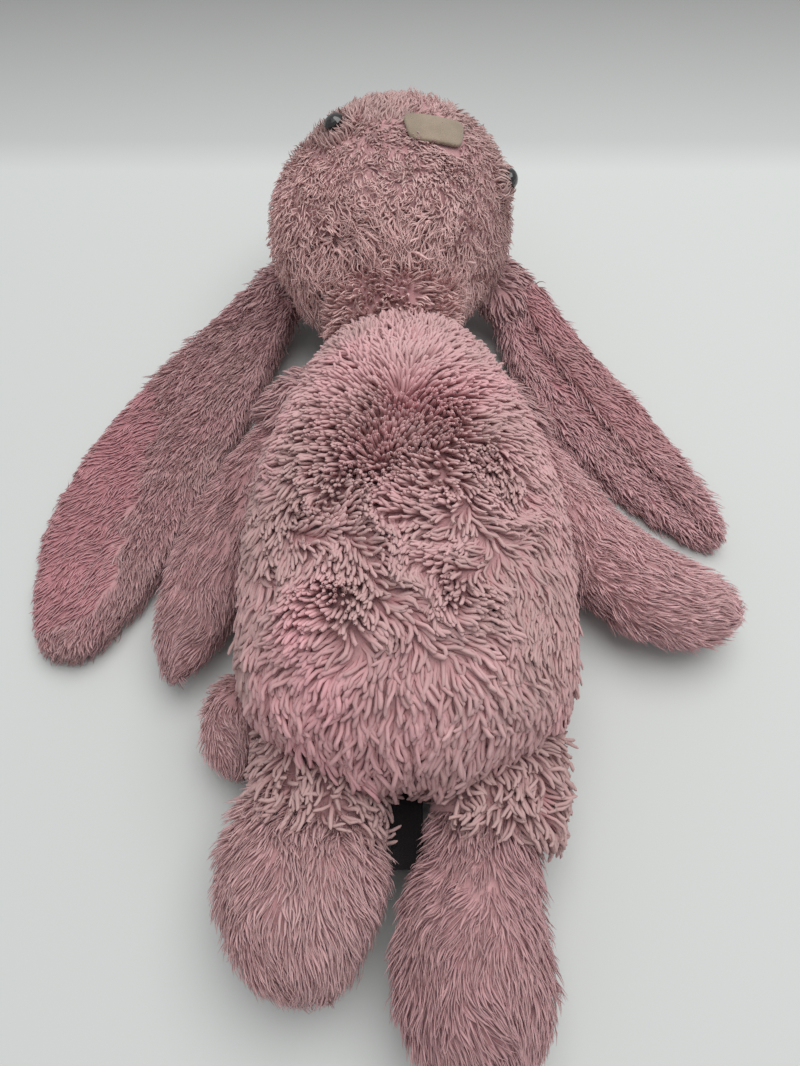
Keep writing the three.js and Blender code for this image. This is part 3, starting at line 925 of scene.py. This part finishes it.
def ear(name, path, half, outer_edge, outward, edge, rose, pale=0.0):
    """An ear: a furry outer panel folded over a velvet lining. half is its half width along the path,
    outer_edge is -1 where its left edge lies away from the body and 1 where its right edge does,
    outward turns the lining's pile, in radians, and edge lists (share of the length, place across)
    beyond which the lining shows. rose is the material of the lining's pile, and pale is how bright
    the pile of the outer panel is."""
    middle = np.array(path, float) + SHIFT
    outer = skin_from(f"{name}_outer_skin", [f"{name}_outer_panel"], voxel=1.1, smoothing=4)
    lining = skin_from(f"{name}_lining_skin", [f"{name}_lining"], voxel=0.9, smoothing=3)
    for skin, node_name, slot, inset in (
        (outer, f"{name}_outer_panel", "pink_plush", 0.5), (lining, f"{name}_lining", "ear_lining_plush", 0.3)
    ):
        co, _, normals = mesh_arrays(skin)
        heading, along, centre = along_path(co, middle)
        right = unit(np.cross(heading, [[0.0, 0.0, 1.0]]))
        across = ((co - centre) * right).sum(1, keepdims=True)
        # The last sixth of the ear is drawn in to a round tip.
        rounding = 1 - np.sqrt(1 - 0.85 * np.clip((along[:, None] - 0.84) / 0.16, 0, 1) ** 2)
        set_points(skin, co - normals * inset - right * across * rounding)
        skin.data.materials.append(LINING_BACKING if skin is lining else BACKING)
        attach(skin, name)
        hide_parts(node_name)

    def share(points):
        return along_path(points, middle)[1]

    def shown(points, facing):
        heading, along, centre = along_path(points, middle)
        right = unit(np.cross(heading, [[0.0, 0.0, 1.0]]))
        width = np.interp(along, np.linspace(0, 1, len(half)), half)
        across = ((points - centre) * right).sum(1) / width * outer_edge
        limit = np.interp(along, *zip(*edge)) + 0.08 * wave_noise(points, 9, 47)
        return (across > limit) & (facing[:, 2] > 0.1)

    def splayed(points):
        heading, _, centre = along_path(points, middle)
        return heading + 0.014 * (points - centre)

    def brushed(points):
        heading, _, _ = along_path(points, middle)
        return turned(heading, np.array([[0.0, 0.0, 1.0]]), np.full(len(points), outward))

    def taper(points):
        return 1 - 0.3 * np.clip((share(points) - 0.85) / 0.15, 0, 1)

    hidden = facing_away(lining, 3.5)
    bare = facing_away(outer, 3.5)

    def wear_and_shade(points):
        return 0.35 + 0.4 * wave_noise(points, 20, 41)

    def spin(points):
        return 0.25 * wave_noise(points, 14, 43)

    for label, surface, seen in (("outer", outer, hidden), ("inner", lining, bare)):

        def plain(points, facing, seen=seen):
            return seen(points, facing) & ~shown(points, facing)

        def rosy(points, facing, seen=seen):
            return seen(points, facing) & shown(points, facing)

        coat(
            f"{name}_{label}_locks", name, surface, splayed,
            spacing=lambda p: 1.15 + 1.1 * (p[:, 2] < 3),
            lift=(0.6, 0.05), length=lambda p: 6.5 * taper(p), radius=0.48, form=LOCK, sides=4, flat=0.6,
            curl=0.18, wiggle=0.15, group=6, pull=0.3, keep=plain, material=EAR_PLUSH, wear_and_shade=wear_and_shade, bright=pale,
            spin=spin,
            sink=0.8,
        )
        coat(
            f"{name}_{label}_hairs", name, surface, splayed,
            spacing=lambda p: 1.3 + 1.3 * (p[:, 2] < 3),
            lift=(0.85, 0.2), length=lambda p: 7.5 * taper(p), radius=0.22, form=HAIR, sides=3,
            curl=0.2, wiggle=0.15, group=8, pull=0.4, keep=plain, material=EAR_PLUSH, wear_and_shade=wear_and_shade, bright=pale,
            spin=spin,
            sink=0.8,
        )
        coat(
            f"{name}_{label}_rose_pile", name, surface, brushed,
            spacing=1.05, lift=(0.5, 0.05), length=5.0, radius=0.42, form=HAIR, sides=3, flat=0.6, curl=0.15,
            wiggle=0.1, group=8, pull=0.3, keep=rosy,
            material=rose, slot="ear_lining_plush", wear_and_shade=lambda p: 0.3 + 0.4 * wave_noise(p, 16, 44),
            bright=lambda p: 0.25 + 0.4 * wave_noise(p, 24, 45),
            spin=lambda p: 0.35 * wave_noise(p, 12, 46), sink=0.4,
        )


def sewn_root(name, parent, path, wide, tall):
    """Where an ear or arm is sewn on. path runs from inside its parent to inside the part."""
    rides = (parent, name, path[1], path[2])
    skin = root(f"{name}_root_skin", rides, path, wide, tall)
    middle = np.array(path, float) + SHIFT

    def flow(points):
        heading, _, centre = along_path(points, middle)
        return heading + 0.02 * (points - centre)

    coat(
        f"{name}_root_pile", rides, skin, flow,
        spacing=1.35, lift=(0.8, 0.15), length=8.0, radius=0.62, form=LOCK, sides=4, flat=0.6, curl=0.25,
        wiggle=0.2, group=5, pull=0.3, material=EAR_PLUSH, wear_and_shade=0.5,
        spin=lambda p: 0.5 * wave_noise(p, 10, 53),
    )


# Middle lines of the parts, in the drawing's millimetres, from the root outward.
LEFT_EAR = [(-53, 102, 14), (-78, 62, 5), (-98.5, 15, 3.2), (-108, -26, 3.2), (-111.5, -50, 3.2)]
RIGHT_EAR = [(47, 103, 14), (60.5, 74.5, 6), (79.5, 40.5, 4), (99, 11, 3.2), (112, -7, 3.2)]
LEFT_ARM = [(-36, 44, 24), (-49, 14, 19), (-62, -22, 15), (-72, -61, 13)]
RIGHT_ARM = [(37, 40, 22), (53, 12, 16), (67, -16, 15), (84, -34, 16), (110, -40, 15)]
LEFT_LEG = [(-22, -96, 20), (-26.5, -112, 20), (-25.5, -130, 20), (-19.5, -148, 19)]
RIGHT_LEG = [(27, -96, 20), (23, -113, 20), (18.5, -139, 20), (23, -167, 20)]
TAIL = [(-47, -60, 13), (-50, -76, 13), (-48, -91, 13)]
LEFT_EAR_ROOT = [(-37, 113, 22), (-47, 108, 17), (-57, 95, 13)]
RIGHT_EAR_ROOT = [(33, 114, 22), (42, 108, 17), (49, 97, 13)]
LEFT_ARM_ROOT = [(-22, 38, 30), (-34, 39, 26), (-43, 30, 22)]
RIGHT_ARM_ROOT = [(23, 34, 28), (35, 36, 24), (45, 27, 20)]
LEFT_LEG_ROOT = [(-21, -82, 24), (-22, -94, 21), (-24, -106, 20)]
RIGHT_LEG_ROOT = [(28, -82, 24), (27, -94, 21), (25, -106, 20)]
EAR_ROOT_WIDE, EAR_ROOT_TALL = [9, 12, 11], [5, 5.5, 4.5]
ARM_ROOT_WIDE, ARM_ROOT_TALL = [11, 11, 11], [10, 10, 10]

torso()
head()
neck()
ear(
    "left_ear", LEFT_EAR, half=[13, 21, 26, 24, 12], outer_edge=1, outward=-0.45,
    edge=[
        (0, 1.5), (0.24, 1.1), (0.35, 0.2), (0.5, -0.15), (0.75, -0.4), (0.86, -0.3), (0.93, 0.7), (1, 1.2)
    ],
    rose=LINING,
)
# The right ear's lining pile is the darker copy of the rose pile: painted shade.
ear(
    "right_ear", RIGHT_EAR, half=[11, 15, 17, 14, 6], outer_edge=-1, outward=0.2,
    edge=[(0, -0.3), (0.15, -0.5), (0.4, -0.3), (0.6, 0.2), (0.75, 1.1), (1, 1.2)],
    rose=SHADED_LINING, pale=0.7,
)
sewn_root("left_ear", "head", LEFT_EAR_ROOT, EAR_ROOT_WIDE, EAR_ROOT_TALL)
sewn_root("right_ear", "head", RIGHT_EAR_ROOT, EAR_ROOT_WIDE, EAR_ROOT_TALL)
sewn_root("left_arm", "torso", LEFT_ARM_ROOT, ARM_ROOT_WIDE, ARM_ROOT_TALL)
sewn_root("right_arm", "torso", RIGHT_ARM_ROOT, ARM_ROOT_WIDE, ARM_ROOT_TALL)
limb("left_arm", LEFT_ARM, length=7, wear_and_shade=0.35, bright=0.1, material=EAR_PLUSH)
limb("right_arm", RIGHT_ARM, length=7, wear_and_shade=0.1, bright=0.8)
limb("left_leg", LEFT_LEG, length=8, wear_and_shade=0.3, bright=0.1, root_yarn=1.0)
limb("right_leg", RIGHT_LEG, length=8, wear_and_shade=0.25, bright=0.15, root_yarn=1.0, material=EAR_PLUSH)
limb("tail", TAIL, length=6, wear_and_shade=0.3, bright=0.2)
leg_root("left", LEFT_LEG_ROOT, start=(-22, -92, 22), end=(-24, -104, 20))
leg_root("right", RIGHT_LEG_ROOT, start=(27, -92, 22), end=(25, -104, 20))


def dark_hem_ribbon():
    """A near-black ribbon, hung from the hem between the legs in place of the CAD's care label, that fills
    the dark gap there.
    """
    across, along = np.meshgrid(np.linspace(-1, 1, 9), np.linspace(0, 1, 25))
    low, high = (np.array(corner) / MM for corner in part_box("care_label"))
    middle = (low + high) / 2
    points = np.column_stack([
        (middle[0] + 4.5 * across).ravel(),
        (high[1] - 24.5 * along).ravel(),
        (middle[2] - 1.8 * across**2 + 0.7 * np.sin(7 * along)).ravel(),
    ])
    index = np.arange(len(points)).reshape(along.shape)
    quads = np.stack([index[:-1, :-1], index[1:, :-1], index[1:, 1:], index[:-1, 1:]], -1).reshape(-1, 4)
    made = object_from("dark_hem_ribbon", points, quads)
    made.modifiers.new("ribbon", "SOLIDIFY").thickness = 0.4 * MM
    applied(made)
    # The ribbon is near black all over and fills the dark gap between the legs.
    near_black = fabric_material("satin_label", srgb(12, 9, 10), srgb(24, 18, 20), weave=2500)
    made.data.materials.append(near_black)
    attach(made, "torso")
    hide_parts("care_label")


dark_hem_ribbon()


def dress_cad_nodes():
    """Materials for the CAD solids that stay."""
    fibre = fabric_material("polyester_fibre", srgb(222, 222, 218), srgb(240, 240, 236), weave=500)
    pouch = fabric_material("woven_pellet_pouch", srgb(170, 165, 155), srgb(200, 195, 185), weave=1500)
    black = hard_material(
        "black_plastic", srgb(14, 12, 12), srgb(30, 26, 26), rough_low=0.12, rough_high=0.3, coat=0.6
    )
    white = hard_material(
        "white_plastic", srgb(220, 220, 216), srgb(236, 236, 232), rough_low=0.3, rough_high=0.5
    )
    kinds = {
        "stuffing": fibre, "pouch": pouch, "stitch": THREAD, "thread": THREAD,
        "washer": white, "eye": black,
    }
    for name, made in NODES.items():
        if made.hide_render:
            continue
        kind = next(kinds[key] for key in kinds if key in name)
        made.data.materials.clear()
        made.data.materials.append(kind)


dress_cad_nodes()


FLOOR_REACH = 1500.0


def make_stage():
    """A pale sheet that turns greyer behind the toy: painted shade, darker the further back it lies."""
    sheet = object_from(
        "floor",
        np.array([[-1, -1, 0], [1, -1, 0], [1, 1, 0], [-1, 1, 0]]) * FLOOR_REACH,
        np.array([[0, 1, 2, 3]]),
    )
    made, tree, shader = new_material("pale_sheet")
    place = node(tree, "ShaderNodeSeparateXYZ")
    tree.links.new(node(tree, "ShaderNodeTexCoord").outputs["Object"], place.inputs[0])
    ramp = node(tree, "ShaderNodeValToRGB")
    depth = spread_between(tree, place.outputs["Y"], 0.20, 0.40)
    tree.links.new(depth, ramp.inputs["Fac"])
    # The ramp darkens the sheet further behind the toy: painted shade.
    stops = ((0.06, srgb(197, 200, 198)), (0.18, srgb(180, 182, 181)), (0.85, srgb(140, 141, 140)))
    ramp.color_ramp.elements[0].position, ramp.color_ramp.elements[0].color = stops[0]
    ramp.color_ramp.elements[1].position, ramp.color_ramp.elements[1].color = stops[2]
    ramp.color_ramp.elements.new(stops[1][0]).color = stops[1][1]
    blotch = spread_between(tree, noise(tree, 6), 0.3, 0.7, 0.0, 0.06)
    colour = mixed(tree, blotch, ramp.outputs["Color"], srgb(184, 187, 184))
    tree.links.new(colour, shader.inputs["Base Color"])
    shader.inputs["Roughness"].default_value = 0.7
    sheet.data.materials.append(made)


make_stage()
make_camera()
make_light(
    "overhead", at=(0.2, 0.2, 1.15), toward=(0, 0, 0), size=1.3, power=13.6, colour=(1.0, 0.99, 0.98)
)
world = bpy.data.worlds.new("world")
bpy.context.scene.world = world
world.use_nodes = True
world.node_tree.nodes["Background"].inputs["Color"].default_value = srgb(248, 250, 252)
world.node_tree.nodes["Background"].inputs["Strength"].default_value = 0.5
bpy.context.scene.view_settings.view_transform = "Standard"
